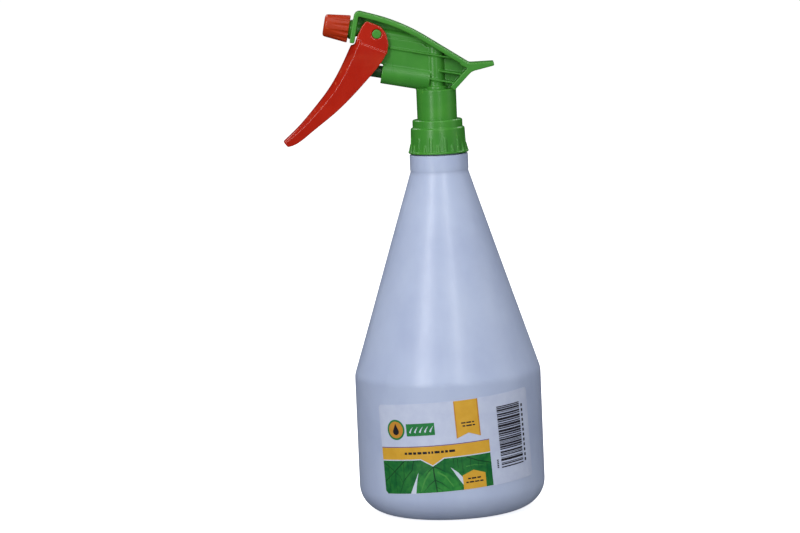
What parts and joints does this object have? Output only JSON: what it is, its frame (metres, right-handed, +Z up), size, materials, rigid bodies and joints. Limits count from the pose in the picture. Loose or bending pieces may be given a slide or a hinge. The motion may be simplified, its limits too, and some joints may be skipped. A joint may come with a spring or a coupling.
{
  "type": "hand mister",
  "caption": "Trigger hand mister: a conical translucent bottle with a screw collar, pump head, curved trigger, adjustable mist nozzle and dip tube.",
  "frame": {"origin": "on the bottle's axis, on the plane it stands on", "axes": "+Z up the bottle's axis; the nozzle points to -X, tilted up; the label faces -Y"},
  "size_m": [0.1367, 0.1031, 0.2787],
  "materials": {
    "bottle_plastic": "milky natural polyethylene, satin",
    "label_film": "printed film, semi-gloss",
    "green_plastic": "moulded polypropylene, semi-gloss",
    "red_plastic": "moulded polypropylene, semi-gloss",
    "piston_plastic": "moulded, dark",
    "natural_plastic": "moulded natural polyethylene",
    "seal_rubber": "smooth",
    "gasket_foam": "expanded sheet",
    "spring_steel": "stainless wire",
    "ball_steel": "polished"
  },
  "bodies": {
    "bottle": {"bottle": "bottle_plastic", "label": "label_film"},
    "gasket": {"neck_gasket": "gasket_foam"},
    "head": {"head_body": "green_plastic", "tube_adapter": "natural_plastic", "ball_cage": "natural_plastic", "dip_tube": "natural_plastic", "tube_strainer": "natural_plastic", "swirl_core": "natural_plastic", "return_spring": "spring_steel", "outlet_valve_spring": "spring_steel"},
    "collar": {"screw_collar": "green_plastic"},
    "trigger": {"trigger": "red_plastic"},
    "piston": {"piston": "piston_plastic", "piston_front_seal": "seal_rubber", "piston_rear_seal": "seal_rubber"},
    "nozzle_seal": {"nozzle_o_ring": "seal_rubber"},
    "nozzle": {"nozzle_cap": "red_plastic"},
    "inlet_ball": {"inlet_ball": "ball_steel"},
    "outlet_valve": {"outlet_valve": "seal_rubber"}
  },
  "joints": [
    {"name": "head_lift_off", "type": "slide", "parent": "bottle", "child": "gasket", "axis": [0, 0, 1], "range_m": [0, 0.21]},
    {"name": "screw_rise", "type": "slide", "parent": "gasket", "child": "head", "axis": [0, 0, 1], "range_m": [0, 0.0053]},
    {"name": "collar_turn", "type": "hinge", "parent": "head", "child": "collar", "pos_m": [0, 0, 0.213], "axis": [0, 0, 1], "range_deg": [0, 450]},
    {"name": "trigger_squeeze", "type": "hinge", "parent": "head", "child": "trigger", "pos_m": [-0.03124, 0, 0.2661], "axis": [0, -1, 0], "range_deg": [0, 22], "stiffness_Nm_per_rad": 0.52, "springref_deg": -17.19},
    {"name": "piston_stroke", "type": "slide", "parent": "head", "child": "piston", "axis": [0.9799, 0, -0.1994], "range_m": [0, 0.00805], "deforming": ["return_spring"]},
    {"name": "nozzle_advance", "type": "slide", "parent": "head", "child": "nozzle_seal", "axis": [-0.9799, 0, 0.1994], "range_m": [0, 0.0026]},
    {"name": "nozzle_turn", "type": "hinge", "parent": "nozzle_seal", "child": "nozzle", "pos_m": [-0.04966, 0, 0.26984], "axis": [-0.9799, 0, 0.1994], "range_deg": [0, 450]},
    {"name": "inlet_ball_lift", "type": "slide", "parent": "head", "child": "inlet_ball", "axis": [0, 0, 1], "range_m": [0, 0.0018]},
    {"name": "outlet_valve_open", "type": "slide", "parent": "head", "child": "outlet_valve", "axis": [-0.9799, 0, 0.1994], "range_m": [0, 0.001], "stiffness_N_per_m": 150, "springref_m": -0.002, "deforming": ["outlet_valve_spring"]}
  ],
  "couplings": [
    {"joint": "screw_rise", "follows": "collar_turn", "m_per_rad": 0.0006737},
    {"joint": "piston_stroke", "follows": "trigger_squeeze", "m_per_rad": 0.020913},
    {"joint": "nozzle_advance", "follows": "nozzle_turn", "m_per_rad": 0.00031831}
  ]
}
